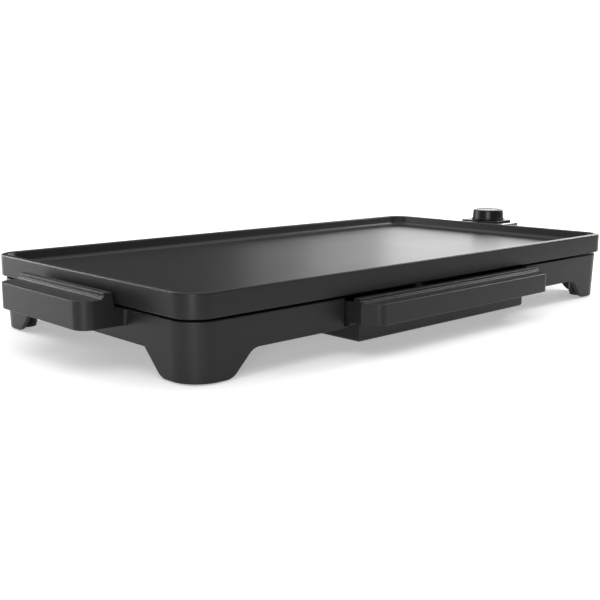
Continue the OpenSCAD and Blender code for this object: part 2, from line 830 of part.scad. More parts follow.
module contact_sleeves() {
    color([0.8, 0.68, 0.35]) placed() for (s = [-1, 1]) difference() {
        rod_x(sleeve_x, sleeve_x + sleeve_l, ctl_y + s * pin_pitch / 2, pin_z, sleeve_r);
        rod_x(sleeve_x - OVER, pin_end + 2, ctl_y + s * pin_pitch / 2, pin_z, pin_r + hole_gap);
    }
}

module probe_rod() {
    color(steel) placed() {
        rod_x(probe_end + probe_r + 1, block_x + block_l + probe_tail, ctl_y, pin_z, probe_r);
        translate([probe_end + probe_r + 1, ctl_y, pin_z]) sphere(r = probe_r - 0.05);
    }
}

// Bimetal switch under the dial: a frame, a leaf stack and a blade
module thermostat_switch() {
    frame_z = pin_z - block_h / 2 - 1;
    frame_l = 22;
    color([0.72, 0.68, 0.6]) placed() {
        box([dial_x - 11, dial_y - 9, frame_z], [dial_x - 11 + frame_l, dial_y + 9, frame_z + 1.5]);
        box([dial_x - 9, dial_y - 7, frame_z + 1.5 - EPS], [dial_x - 4, dial_y + 7, ctl_split - 1.5]);
        box([dial_x - 9, dial_y - 3, ctl_split - 1.5 - EPS], [dial_x + 8, dial_y + 3, ctl_split - 0.5]);
        post(dial_x, dial_y, 1.6, ctl_split - 0.5 - EPS, spindle_low - hole_gap);
    }
}

module supply_terminals() {
    color([0.9, 0.88, 0.82]) placed()
        box([ctl_x1 - 20, gland_y - 10, ctl_z + ctl_wall + hole_gap],
            [ctl_x1 - 8, gland_y + 12, ctl_split - gland_neck + 1]);
}

module spindle_bush() {
    color([0.8, 0.68, 0.35]) placed() difference() {
        post(dial_x, dial_y, bush_r, bush_top - bush_h, bush_top);
        post(dial_x, dial_y, spindle_r + spindle_gap, bush_top - bush_h - OVER, bush_top + OVER);
    }
}

module pilot_lamp() {
    color([0.95, 0.5, 0.2]) placed() post(lamp_x, lamp_y, 2.4, ctl_top - 12, ctl_top - 3.1);
}

module pilot_lens() {
    color([0.75, 0.1, 0.05]) placed()
        post(lamp_x, lamp_y, lens_r, ctl_top - 3, ctl_top + island_h + lens_out);
}

// Rubber sleeve where the mains cord comes in
module cord_gland() {
    color([0.05, 0.05, 0.05]) placed() difference() {
        union() {
            rod_x(ctl_x1 - ctl_wall - 2.6, ctl_x1 - ctl_wall - hole_gap, gland_y, gland_z, gland_r);
            rod_x(ctl_x1 - ctl_wall - 1, ctl_x1 + 1, gland_y, gland_z, gland_neck);
            rod_x(ctl_x1 + hole_gap, ctl_x1 + gland_out, gland_y, gland_z, gland_r);
        }
        rod_x(ctl_x1 - ctl_wall - 4, ctl_x1 + gland_out + OVER, gland_y, gland_z, cord_d / 2);
    }
}

module dial_knob() {
    color(satin_black) placed() difference() {
        post(dial_x, dial_y, knob_d / 2, knob_z, knob_z + knob_h);
        post(dial_x, dial_y, spindle_r + hole_gap / 2, knob_z - OVER, spindle_top + hole_gap);
    }
}

module knob_spindle() {
    color(steel) placed() post(dial_x, dial_y, spindle_r, spindle_low, spindle_top);
}

base_housing();
rubber_feet();
plate_rests();
heat_reflector();
reflector_screws();
griddle_plate();
drain_spout();
heating_element();
pin_insulators();
terminal_pins();
terminal_bracket();
bracket_screws();
probe_well();
drip_tray();
tray_front();
tray_screws();
control_base();
control_cover();
control_screws();
dial_plate();
contact_block();
contact_sleeves();
probe_rod();
thermostat_switch();
supply_terminals();
spindle_bush();
pilot_lamp();
pilot_lens();
cord_gland();
dial_knob();
knob_spindle();
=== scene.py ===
import math

import bmesh
import bpy
from mathutils import Matrix, Vector


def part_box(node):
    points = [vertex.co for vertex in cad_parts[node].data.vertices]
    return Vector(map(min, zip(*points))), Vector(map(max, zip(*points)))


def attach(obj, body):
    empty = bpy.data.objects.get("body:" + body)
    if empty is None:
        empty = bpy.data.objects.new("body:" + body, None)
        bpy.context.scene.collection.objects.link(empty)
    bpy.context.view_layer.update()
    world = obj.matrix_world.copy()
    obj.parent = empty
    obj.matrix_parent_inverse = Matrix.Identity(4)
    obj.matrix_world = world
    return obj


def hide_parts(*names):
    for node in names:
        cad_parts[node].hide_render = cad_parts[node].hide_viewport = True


bl_info = {
    "name": "Electric griddle",
    "version": (1, 0, 0),
    "blender": (4, 5, 0),
    "location": "View3D > Sidebar > Griddle",
    "description": "Builds the visible pieces, finishes and studio of an electric griddle",
    "category": "Object",
}

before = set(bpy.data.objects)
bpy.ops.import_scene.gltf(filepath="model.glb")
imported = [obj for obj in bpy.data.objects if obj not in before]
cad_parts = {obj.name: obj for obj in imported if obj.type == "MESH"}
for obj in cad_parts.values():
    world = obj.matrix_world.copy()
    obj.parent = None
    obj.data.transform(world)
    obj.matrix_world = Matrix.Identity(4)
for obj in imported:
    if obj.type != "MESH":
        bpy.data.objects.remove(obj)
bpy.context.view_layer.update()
MM = 0.001

# Sizes of the frame's pieces that the shaping steps pick by, in millimetres
PLATE_CORNER = 21
RIM_WIDTH = 6
PAN_DEPTH = 11
PLATE_DEPTH = 19
DRAIN = (2, 32)  # from the plate's middle, and in from its front edge
BASE_HALF = (277.5, 147.5)
BASE_CORNER = 24
BASE_BOTTOM = 21
BASE_TOP = 46.5
LEG_ARM = (244, 113)
LEG_TOP = 220.5
HANDLE_HALF = 67
HANDLE_TOP = 55.2
GRIP_TOP = 43.7
GRIP_BOTTOM = 25
GUARD_FRONT = -162.9
GRIP_SIDE = -176
CONTROL_CORNER = 10
PANEL_CORNER = 7
FOOT_RADIUS = 9
FOOT_HEIGHT = 3.2
SCREW_HEAD = (3, 1.8)  # radius and height
SCREW_SHANK = 1.4


def middle_of_plate():
    """The point on the table under the cooking plate's middle, in metres."""
    low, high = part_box("griddle_plate")
    return Vector(((low.x + high.x) / 2, (low.y + high.y) / 2, 0))


MIDDLE = middle_of_plate()


def spot(x, y, z):
    """A point in metres, from millimetres about the plate's middle and above the table."""
    return MIDDLE + Vector((x, y, z)) * MM


def here(point):
    """Millimetres about the plate's middle, from a point in metres."""
    return (point - MIDDLE) / MM


def node_box(node):
    """Lowest and highest corner of a frame node, in millimetres about the plate's middle."""
    low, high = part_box(node)
    return here(low), here(high)


def past_outline(point, half_x, half_y, corner):
    """How far a point lies outside a rectangle with round corners, less than 0 inside it."""
    x = max(abs(point.x) - (half_x - corner), 0)
    y = max(abs(point.y) - (half_y - corner), 0)
    if x and y:
        return math.hypot(x, y) - corner
    return max(abs(point.x) - half_x, abs(point.y) - half_y)


# ------------------------------------------------------------------ modelling


def clear_selection():
    """Leaves edit mode and deselects every object."""
    if bpy.context.mode != "OBJECT":
        bpy.ops.object.mode_set(mode="OBJECT")
    bpy.ops.object.select_all(action="DESELECT")


def choose(piece):
    """Makes one piece the only selected and the active one."""
    clear_selection()
    piece.select_set(True)
    bpy.context.view_layer.objects.active = piece


def named(name):
    """Names the newest primitive and moves its place into its mesh."""
    piece = bpy.context.object
    bpy.ops.object.transform_apply(location=True, rotation=True, scale=True)
    piece.name = piece.data.name = name
    return piece


def block(name, low, high):
    """A block between two corners."""
    clear_selection()
    low, high = Vector(low), Vector(high)
    bpy.ops.mesh.primitive_cube_add(
        size=1, location=spot(*((low + high) / 2)), scale=(high - low) * MM
    )
    return named(name)


def upright(name, x, y, radius, low, high, sides=48):
    """A cylinder that stands between two heights."""
    clear_selection()
    bpy.ops.mesh.primitive_cylinder_add(
        vertices=sides, radius=radius * MM, depth=(high - low) * MM,
        location=spot(x, y, (low + high) / 2),
    )
    return named(name)


def lying(name, x_low, x_high, y, z, radius, sides=48):
    """A cylinder that lies along X."""
    clear_selection()
    bpy.ops.mesh.primitive_cylinder_add(
        vertices=sides, radius=radius * MM, depth=(x_high - x_low) * MM,
        location=spot((x_low + x_high) / 2, y, z), rotation=(0, math.pi / 2, 0),
    )
    return named(name)


class Shaping:
    """Edit mode on one piece, whose faces, edges or corners are picked by place."""

    def __init__(self, piece):
        self.piece = piece

    def __enter__(self):
        choose(self.piece)
        bpy.ops.object.mode_set(mode="EDIT")
        bpy.ops.mesh.select_mode(type="FACE")
        bpy.ops.mesh.select_all(action="DESELECT")
        return self

    def __exit__(self, *_):
        clear_selection()

    def _pick(self, kind, chosen):
        """Selects the faces, edges or corners for which chosen says yes."""
        bpy.ops.mesh.select_mode(type=kind)
        bpy.ops.mesh.select_all(action="DESELECT")
        mesh = bmesh.from_edit_mesh(self.piece.data)
        items = {"FACE": mesh.faces, "EDGE": mesh.edges, "VERT": mesh.verts}[kind]
        picked = [item for item in items if chosen(item)]
        if not picked:
            raise RuntimeError(f"nothing was picked on {self.piece.name}")
        for item in picked:
            item.select_set(True)
        mesh.select_flush_mode()
        bmesh.update_edit_mesh(self.piece.data)

    def faces(self, test):
        """Picks faces by their middle and their normal."""
        self._pick("FACE", lambda f: test(here(f.calc_center_median()), f.normal))

    def edges(self, test):
        """Picks edges by their two ends."""
        self._pick("EDGE", lambda e: test(here(e.verts[0].co), here(e.verts[1].co)))

    def sharp_edges(self, test, least=40, shortest=0):
        """Picks edges that fold by more than an angle in degrees, by their middle."""
        fold = math.radians(least)

        def chosen(edge):
            if len(edge.link_faces) != 2 or edge.calc_length() < shortest * MM:
                return False
            return edge.calc_face_angle() > fold and test(
                here((edge.verts[0].co + edge.verts[1].co) / 2)
            )

        self._pick("EDGE", chosen)

    def corners(self, test):
        """Picks corners by their place."""
        self._pick("VERT", lambda v: test(here(v.co)))

    def inset(self, width):
        bpy.ops.mesh.inset(thickness=width * MM, use_even_offset=True)

    def extrude(self, x=0, y=0, z=0):
        bpy.ops.mesh.extrude_region_move(
            TRANSFORM_OT_translate={"value": (x * MM, y * MM, z * MM)}
        )

    def move(self, x=0, y=0, z=0):
        bpy.ops.transform.translate(value=(x * MM, y * MM, z * MM))

    def resize(self, about, x=1, y=1, z=1):
        bpy.ops.transform.resize(value=(x, y, z), center_override=spot(*about))

    def bevel(self, width, steps=3):
        bpy.ops.mesh.bevel(
            offset=width * MM, offset_type="OFFSET", segments=steps, profile=0.5,
            affect="EDGES", clamp_overlap=False, loop_slide=False,
        )


def taken_from(node, name):
    """A merged copy of a frame node with its flat faces made whole, ready to be shaped."""
    piece = bpy.data.objects.new(name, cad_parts[node].data.copy())
    bpy.context.scene.collection.objects.link(piece)
    piece.data.name = name
    piece.data.materials.clear()
    with Shaping(piece):
        bpy.ops.mesh.select_all(action="SELECT")
        bpy.ops.mesh.remove_doubles(threshold=0.00003)
        bpy.ops.mesh.dissolve_limited(angle_limit=math.radians(0.5))
    choose(piece)
    bpy.ops.mesh.customdata_custom_splitnormals_clear()
    return piece


def apply(piece, kind, **settings):
    """Adds a modifier with its settings and applies it."""
    choose(piece)
    modifier = piece.modifiers.new(kind.lower(), kind)
    for name, value in settings.items():
        setattr(modifier, name, value)
    bpy.ops.object.modifier_apply(modifier=modifier.name)


def cut(piece, *tools):
    """Takes each tool's shape out of a piece."""
    for tool in tools:
        apply(piece, "BOOLEAN", operation="DIFFERENCE", object=tool, solver="EXACT")
        bpy.data.objects.remove(tool)


def weld(piece, *others):
    """Makes one closed solid of a piece and others that overlap it."""
    for other in others:
        apply(piece, "BOOLEAN", operation="UNION", object=other, solver="EXACT")
        bpy.data.objects.remove(other)


def gather(name, pieces):
    """Joins separate solids into one object."""
    choose(pieces[0])
    for piece in pieces:
        piece.select_set(True)
    if len(pieces) > 1:
        bpy.ops.object.join()
    pieces[0].name = pieces[0].data.name = name
    return pieces[0]


def copy_at(piece, x, y, z=0):
    """A moved copy with its own mesh."""
    made = bpy.data.objects.new(piece.name, piece.data.copy())
    bpy.context.scene.collection.objects.link(made)
    made.data.transform(Matrix.Translation(Vector((x, y, z)) * MM))
    return made


def smooth(piece, angle=32):
    """Smooth shading up to an angle, with flat faces kept flat."""
    choose(piece)
    bpy.ops.object.shade_smooth_by_angle(angle=math.radians(angle))
    apply(piece, "WEIGHTED_NORMAL", keep_sharp=True, weight=100)
    clear_selection()


def settle(piece, body, slot, finish, *nodes):
    """Gives a finished piece its material and its body, and hides the frame nodes that it stands
    for.
    """
    piece.data.materials.clear()
    piece.data.materials.append(finish)
    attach(piece, body)
    if nodes:
        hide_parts(*nodes)
    clear_selection()


# ------------------------------------------------------------------- finishes


class Wire:
    """One value in a material, which sums and products can be made of."""

    def __init__(self, finish, socket):
        self.finish = finish
        self.socket = socket

    def _maths(self, operation, first, second=0.0):
        return self.finish.node(
            "ShaderNodeMath", {"operation": operation}, {0: first, 1: second}
        )

    def __add__(self, other):
        return self._maths("ADD", self, other)

    def __radd__(self, other):
        return self._maths("ADD", other, self)

    def __sub__(self, other):
        return self._maths("SUBTRACT", self, other)

    def __rsub__(self, other):
        return self._maths("SUBTRACT", other, self)

    def __mul__(self, other):
        return self._maths("MULTIPLY", self, other)

    def __rmul__(self, other):
        return self._maths("MULTIPLY", other, self)

    def __gt__(self, other):
        return self._maths("GREATER_THAN", self, other)

    def __lt__(self, other):
        return self._maths("LESS_THAN", self, other)

    def distance(self):
        return self._maths("ABSOLUTE", self)


class Finish:
    """A material in the making: its nodes and the shader that they feed."""

    def __init__(self, name):
        self.material = bpy.data.materials.new(name)
        self.material.use_nodes = True
        self.tree = self.material.node_tree
        self.shader = self.tree.nodes["Principled BSDF"]

    def put(self, socket, value):
        if isinstance(value, Wire):
            self.tree.links.new(value.socket, socket)
        else:
            socket.default_value = value

    def node(self, kind, settings=None, values=None, output=0):
        """Adds a node: its settings first, then the values or links of its sockets."""
        made = self.tree.nodes.new(kind)
        for name, value in (settings or {}).items():
            setattr(made, name, value)
        for name, value in (values or {}).items():
            self.put(made.inputs[name], value)
        return Wire(self, made.outputs[output])

    def set(self, values):
        """Sets or links the shader's sockets."""
        for name, value in values.items():
            self.put(self.shader.inputs[name], value)

    def place(self, scale=(1, 1, 1), turn=(0, 0, 0)):
        """Object coordinates, stretched and turned."""
        coordinates = self.node("ShaderNodeTexCoord", output="Object")
        return self.node(
            "ShaderNodeMapping", {"vector_type": "POINT"},
            {"Vector": coordinates, "Scale": scale, "Rotation": turn},
        )

    def noise(self, scale, detail=3.0, rough=0.55, place=None):
        return self.node(
            "ShaderNodeTexNoise", None,
            {"Vector": place or self.place(), "Scale": scale, "Detail": detail,
             "Roughness": rough},
        )

    def cells(self, scale, place=None):
        return self.node(
            "ShaderNodeTexVoronoi", None, {"Vector": place or self.place(), "Scale": scale}
        )

    def ramp(self, value, low, high):
        """0 below low, 1 above high and even between them."""
        return self.node(
            "ShaderNodeMapRange", {"clamp": True},
            {"Value": value, "From Min": low, "From Max": high},
        )

    def blend(self, factor, first, second):
        """A colour between two colours."""
        return self.node(
            "ShaderNodeMix", {"data_type": "RGBA"},
            {"Factor": factor, 6: first, 7: second}, output=2,
        )

    def bump(self, height, depth, strength=1.0):
        """A relief of the given depth in millimetres."""
        return self.node(
            "ShaderNodeBump", None,
            {"Height": height, "Distance": depth * MM, "Strength": strength},
        )


def shade_of(colour, factor):
    """A colour made lighter or darker, with an alpha of 1."""
    return tuple(min(c * factor, 1.0) for c in colour[:3]) + (1.0,)


def moulded_plastic(name, colour, roughness, grain=0.012, specular=0.24):
    """Spark-eroded black plastic: fine grain, slow mottling and a few rubbed streaks."""
    finish = Finish(name)
    mottle = finish.noise(26, 4)
    fine = finish.noise(2600, 2, 0.6)
    pits = finish.cells(1500)
    rubbed = finish.ramp(finish.noise(60, 5, 0.7, finish.place((1, 1, 7))), 0.62, 0.8)
    base = finish.blend(mottle, shade_of(colour, 0.82), shade_of(colour, 1.2))
    finish.set({
        "Base Color": finish.blend(rubbed * 0.35, base, shade_of(colour, 1.9)),
        "Roughness": mottle * 0.1 + fine * 0.08 - rubbed * 0.05 + (roughness - 0.09),
        "Specular IOR Level": specular,
        "Normal": finish.bump(fine * 0.6 + pits * 0.4, grain),
    })
    return finish.material


def polished_plastic(name, colour, roughness=0.08):
    """Glossy plastic with faint waviness and hairline scratches."""
    finish = Finish(name)
    wave = finish.noise(40, 2)
    hair = finish.ramp(finish.noise(900, 2, 0.5, finish.place((1, 0.03, 1), (0, 0, 0.4))), 0.62, 0.7)
    dust = finish.ramp(finish.noise(1900, 2), 0.68, 0.76)
    finish.set({
        "Base Color": finish.blend(dust * 0.4, shade_of(colour, 1), shade_of(colour, 4)),
        "Roughness": wave * 0.05 + hair * 0.1 + dust * 0.15 + (roughness - 0.02),
        "Coat Weight": 0.3,
        "Coat Roughness": 0.05,
        "Normal": finish.bump(wave + hair * 0.03, 0.02),
    })
    return finish.material


def cooking_coat(name, colour, roughness):
    """Non-stick coat on cast aluminium: fine speckle, orange peel and slow mottling."""
    finish = Finish(name)
    peel = finish.noise(1100, 3, 0.5)
    mottle = finish.noise(14, 4)
    speck = finish.ramp(finish.noise(3200, 2, 0.6), 0.66, 0.74)
    tint = finish.blend(mottle, shade_of(colour, 0.88), shade_of(colour, 1.14))
    finish.set({
        "Base Color": finish.blend(speck * 0.5, tint, shade_of(colour, 2.6)),
        "Roughness": peel * 0.06 + mottle * 0.06 + speck * 0.05 + (roughness - 0.06),
        "Specular IOR Level": 0.22,
        "Normal": finish.bump(peel + speck * 0.4, 0.008),
    })
    return finish.material


def brushed_metal(name, colour, roughness, along=(1, 30, 30), depth=0.01, stain=0.0):
    """Drawn or brushed metal with streaks one way, and a heat stain where it is given."""
    finish = Finish(name)
    streaks = finish.noise(260, 4, 0.6, finish.place(along))
    cloud = finish.noise(30, 3)
    base = finish.blend(streaks, shade_of(colour, 0.8), shade_of(colour, 1.12))
    finish.set({
        "Base Color": finish.blend(cloud * stain, base, (0.16, 0.11, 0.07, 1)),
        "Metallic": 1.0,
        "Roughness": streaks * 0.16 + cloud * 0.1 + (roughness - 0.13),
        "Normal": finish.bump(streaks, depth),
    })
    return finish.material


def soft_rubber(name, colour, roughness):
    """Matte rubber or silicone with a dusty bloom."""
    finish = Finish(name)
    bloom = finish.noise(180, 4)
    fine = finish.noise(3000, 2)
    finish.set({
        "Base Color": finish.blend(bloom, shade_of(colour, 0.85), shade_of(colour, 1.35)),
        "Roughness": bloom * 0.12 + (roughness - 0.06),
        "Specular IOR Level": 0.35,
        "Normal": finish.bump(fine, 0.02),
    })
    return finish.material


def fired_ceramic(name, colour, roughness):
    """Glazed ceramic or dense moulding with specks and a slight unevenness."""
    finish = Finish(name)
    speck = finish.ramp(finish.noise(1400, 3), 0.62, 0.7)
    wave = finish.noise(300, 2)
    finish.set({
        "Base Color": finish.blend(speck * 0.4, shade_of(colour, 1), shade_of(colour, 0.55)),
        "Roughness": wave * 0.14 + (roughness - 0.07),
        "Normal": finish.bump(wave + speck * 0.2, 0.02),
    })
    return finish.material


def lamp_body(name, colour, glow=0.0, through=0.0):
    """Clear or tinted plastic over a lamp."""
    finish = Finish(name)
    ripple = finish.noise(700, 2)
    finish.set({
        "Base Color": finish.blend(ripple, shade_of(colour, 0.8), shade_of(colour, 1.2)),
        "Roughness": ripple * 0.1 + 0.08,
        "Transmission Weight": through,
        "IOR": 1.49,
        "Emission Color": shade_of(colour, 1),
        "Emission Strength": glow,
        "Normal": finish.bump(ripple, 0.01),
    })
    return finish.material


def dial_plastic(name, colour, mark, axis):
    """Satin knob plastic with a printed pointer line on its top."""
    finish = Finish(name)
    coordinates = finish.node("ShaderNodeTexCoord", output="Object")
    parts = [
        finish.node("ShaderNodeSeparateXYZ", None, {"Vector": coordinates}, output=i)
        for i in range(3)
    ]
    across = (parts[0] - axis.x).distance() < 0.7 * MM
    reach = axis.y - parts[1]
    line = across * (reach > 6 * MM) * (reach < 16 * MM) * (parts[2] > axis.z)
    mottle = finish.noise(60, 3)
    fine = finish.noise(2400, 2)
    base = finish.blend(mottle, shade_of(colour, 0.85), shade_of(colour, 1.2))
    finish.set({
        "Base Color": finish.blend(line, base, shade_of(mark, 1)),
        "Roughness": mottle * 0.08 + fine * 0.06 + 0.3,
        "Specular IOR Level": 0.3,
        "Normal": finish.bump(fine, 0.01),
    })
    return finish.material


def pale_floor(name, colour, glow, near=0.9, far=1.4):
    """A plain pale studio floor that fades into the white backdrop, with distances in metres."""
    finish = Finish(name)
    tone = finish.noise(3, 2)
    coordinates = finish.node("ShaderNodeTexCoord", output="Object")
    reach = finish.node("ShaderNodeVectorMath", {"operation": "LENGTH"}, {0: coordinates}, output=1)
    finish.set({
        "Base Color": finish.blend(tone, shade_of(colour, 0.99), shade_of(colour, 1)),
        "Roughness": 0.75,
        "Specular IOR Level": 0.2,
        "Emission Color": (1, 1, 1, 1),
        "Emission Strength": glow,
        "Alpha": 1 - finish.ramp(reach, near, far),
    })
    return finish.material


# ------------------------------------------------------------------- settings


def length(name, description, default, least=0.0, most=1000.0):
    return bpy.props.FloatProperty(
        name=name, description=description, default=default, min=least, max=most,
        subtype="DISTANCE",
    )


def tint(name, description, default):
    return bpy.props.FloatVectorProperty(
        name=name, description=description, default=default, min=0, max=1, size=3,
        subtype="COLOR",
    )


class GriddleShapes(bpy.types.PropertyGroup):
    """Sizes of the rounding and the drafts, in millimetres."""

    rim_round: length("Rim rounding", "Rounding of the plate's outer rim edge", 1.5)
    lip_round: length("Lip rounding", "Rounding of the rim's inner edge", 1.6)
    pan_fillet: length("Pan fillet", "Fillet between the pan's floor and its walls", 4.0)
    pan_draft: length("Pan draft", "How far the pan's walls lean in at the floor", 3.0)
    edge_round: length("Edge rounding", "Rounding of the moulded edges", 1.0)
    foot_round: length("Leg rounding", "Rounding of the legs' lower ends", 5.0)
    handle_fillet: length("Handle fillet", "Fillet between a handle and the base", 3.5)
    wall_draft: length("Wall draft", "How far the base's outer faces lean in at the feet", 1.4)
    wall_swell: length("Wall swell", "How far the base's outer faces stand out at the top", 0.7)
    knob_taper: length("Knob taper", "How much narrower the knob is at its top", 0.9)


class GriddleColours(bpy.types.PropertyGroup):
    """Colours and gloss of the finishes."""

    plastic: tint("Plastic", "Moulded black plastic", (0.011, 0.011, 0.0115))
    coating: tint("Coating", "Non-stick coat of the plate", (0.012, 0.012, 0.0125))
    gloss: tint("Gloss", "Glossy plastic of the control's cover", (0.012, 0.012, 0.013))
    knob: tint("Knob", "Plastic of the dial knob", (0.008, 0.008, 0.0085))
    mark: tint("Pointer", "Printed pointer line", (0.75, 0.75, 0.73))
    steel: tint("Steel", "Plain steel", (0.62, 0.63, 0.65))
    lens: tint("Lens", "Pilot light's lens", (0.55, 0.03, 0.02))
    floor: tint("Floor", "Studio floor", (0.66, 0.66, 0.66))
    plastic_rough: bpy.props.FloatProperty(
        name="Plastic roughness", description="Roughness of the moulded plastic",
        default=0.4, min=0, max=1, subtype="FACTOR",
    )
    coating_rough: bpy.props.FloatProperty(
        name="Coating roughness", description="Roughness of the non-stick coat",
        default=0.36, min=0, max=1, subtype="FACTOR",
    )


def shapes():
    return bpy.context.scene.griddle_shapes


def colours():
    return bpy.context.scene.griddle_colours


def moulding():
    """The one black plastic that the base, the tray and the control share."""
    made = bpy.data.materials.get("satin_moulding")
    return made or moulded_plastic("satin_moulding", colours().plastic, colours().plastic_rough)


# --------------------------------------------------------------------- pieces


class GRIDDLE_OT_plate(bpy.types.Operator):
    """Makes the cast cooking plate with its rim, pan and drain"""

    bl_idname = "griddle.plate"
    bl_label = "Cooking plate"

    def execute(self, context):
        size = shapes()
        low, high = node_box("griddle_plate")
        top = high.z
        floor = top - PAN_DEPTH
        skirt = top - PLATE_DEPTH
        lean = size.pan_draft
        piece = taken_from("griddle_plate", "cooking_plate")

        def past(point, step):
            """How far a point lies outside the plate's outline, drawn in by a step."""
            corner = PLATE_CORNER - min(step, RIM_WIDTH)
            return past_outline(point, high.x - step, high.y - step, corner)

        def outer(point, z):
            return abs(point.z - z) < 0.1 and past(point, 0) > -0.3

        def inner(point, z):
            return abs(point.z - z) < 0.1 and abs(past(point, RIM_WIDTH)) < 0.3

        with Shaping(piece) as work:
            work.sharp_edges(lambda p: outer(p, top))
            work.bevel(size.rim_round, 4)
            work.sharp_edges(lambda p: inner(p, top))
            work.bevel(size.lip_round, 3)
            work.corners(lambda p: inner(p, floor))
            narrow_x = 1 - lean / (high.x - RIM_WIDTH)
            narrow_y = 1 - lean / (high.y - RIM_WIDTH)
            work.resize((0, 0, floor), narrow_x, narrow_y, 1)
            work.sharp_edges(
                lambda p: abs(p.z - floor) < 0.1 and past(p, RIM_WIDTH + lean) > -1.5
            )
            work.bevel(size.pan_fillet, 5)
            work.sharp_edges(lambda p: outer(p, skirt))
            work.bevel(0.8, 3)
            drain = Vector((DRAIN[0], DRAIN[1] - high.y))
            work.sharp_edges(lambda p: abs(p.z - floor) < 0.1 and (p.xy - drain).length < 8)
            work.bevel(1.2, 3)
        smooth(piece, 34)
        coat = cooking_coat("cooking_coat", colours().coating, colours().coating_rough)
        settle(piece, "plate", "coated_aluminium", coat, "griddle_plate")
        return {"FINISHED"}


class GRIDDLE_OT_base(bpy.types.Operator):
    """Makes the moulded base with its legs and side handles"""

    bl_idname = "griddle.base"
    bl_label = "Base and handles"

    def execute(self, context):
        size = shapes()
        half_x, half_y = BASE_HALF
        piece = taken_from("base_housing", "base_moulding")

        def outside(point):
            return past_outline(point, half_x, half_y, BASE_CORNER) > -0.3

        with Shaping(piece) as work:
            work.edges(
                lambda a, b: outside(a) != outside(b) and max(a.z, b.z) < 1.0
                and (a - b).length < 6 and (abs(a.x) < LEG_ARM[0] or abs(a.y) < LEG_ARM[1])
            )
            work.bevel(size.foot_round, 5)
            work.edges(
                lambda a, b: outside(a) != outside(b) and abs(a.z - BASE_BOTTOM) < 0.3
                and abs(b.z - BASE_BOTTOM) < 0.3 and (a - b).length < 6
                and abs(abs(a.x) - LEG_TOP) < 0.8
            )
            work.bevel(size.foot_round, 5)
            work.sharp_edges(
                lambda p: abs(abs(p.x) - half_x) < 0.1
                and abs(abs(p.y) - HANDLE_HALF) < 0.5 and 34 < p.z < BASE_TOP
            )
            work.bevel(size.handle_fillet, 4)
            work.sharp_edges(lambda p: abs(p.x) > half_x + 8 and p.z > HANDLE_TOP, 60)
            work.bevel(0.6, 3)
            work.sharp_edges(lambda p: outside(p) and p.z < HANDLE_TOP, 40, 1.0)
            work.bevel(size.edge_round, 3)
        for vertex in piece.data.vertices:
            point = here(vertex.co)
            gap = past_outline(point, half_x, half_y, BASE_CORNER)
            if -1.5 < gap < 0.3 and point.z < BASE_TOP + 0.1:
                depth = (BASE_TOP - point.z) / BASE_TOP
                lean = size.wall_draft * depth - size.wall_swell
                point.x *= 1 - lean / half_x
                point.y *= 1 - lean / half_y
                vertex.co = spot(*point)
        smooth(piece, 34)
        settle(piece, "base", "black_plastic", moulding(), "base_housing")
        return {"FINISHED"}


class GRIDDLE_OT_tray(bpy.types.Operator):
    """Makes the drip tray's pan and its front with the grip"""

    bl_idname = "griddle.tray"
    bl_label = "Drip tray"

    def execute(self, context):
        front = taken_from("tray_front", "tray_grip")
        with Shaping(front) as work:
            work.sharp_edges(lambda p: p.z > GRIP_TOP, 60)
            work.bevel(0.6, 3)
            work.sharp_edges(
                lambda p: p.y < GUARD_FRONT and p.z > GRIP_BOTTOM
                and not (p.z < GRIP_BOTTOM + 2 and p.y > GRIP_SIDE), 60, 0.9
            )
            work.bevel(shapes().edge_round, 3)
        smooth(front, 34)
        settle(front, "tray", "black_plastic", moulding(), "tray_front")

        pan = taken_from("drip_tray", "tray_pan")
        bottom = node_box("drip_tray")[0].z
        with Shaping(pan) as work:
            work.sharp_edges(lambda p: p.z < bottom + 0.1, 60)
            work.bevel(3.0, 4)
        smooth(pan, 34)
        settle(pan, "tray", "black_plastic", moulding(), "drip_tray")
        return {"FINISHED"}


class GRIDDLE_OT_control(bpy.types.Operator):
    """Makes the heat control's two housing halves and its raised panel"""

    bl_idname = "griddle.control"
    bl_label = "Heat control"

    def execute(self, context):
        gloss = polished_plastic("control_gloss", colours().gloss)
        for node, name, slot, finish in (
            ("control_base", "control_tub", "black_plastic", moulding()),
            ("control_cover", "control_lid", "gloss_plastic", gloss),
            ("dial_plate", "dial_panel", "black_plastic", moulding()),
        ):
            low, high = node_box(node)
            piece = taken_from(node, name)
            outer_z = low.z if node == "control_base" else high.z

            def outline(point):
                middle = (low + high) / 2
                half = (high - low) / 2
                corner = PANEL_CORNER if node == "dial_plate" else CONTROL_CORNER
                return past_outline(point - middle, half.x, half.y, corner)

            with Shaping(piece) as work:
                work.sharp_edges(lambda p: abs(p.z - outer_z) < 0.1 and outline(p) > -0.3, 60)
                work.bevel(0.7 if node == "dial_plate" else 1.6, 4)
                if node != "dial_plate":
                    seam_z = high.z if node == "control_base" else low.z
                    work.sharp_edges(
                        lambda p: abs(p.z - seam_z) < 0.1 and outline(p) > -0.3, 60
                    )
                    work.bevel(0.3, 2)
            smooth(piece, 34)
            settle(piece, "control", slot, finish, node)
        return {"FINISHED"}


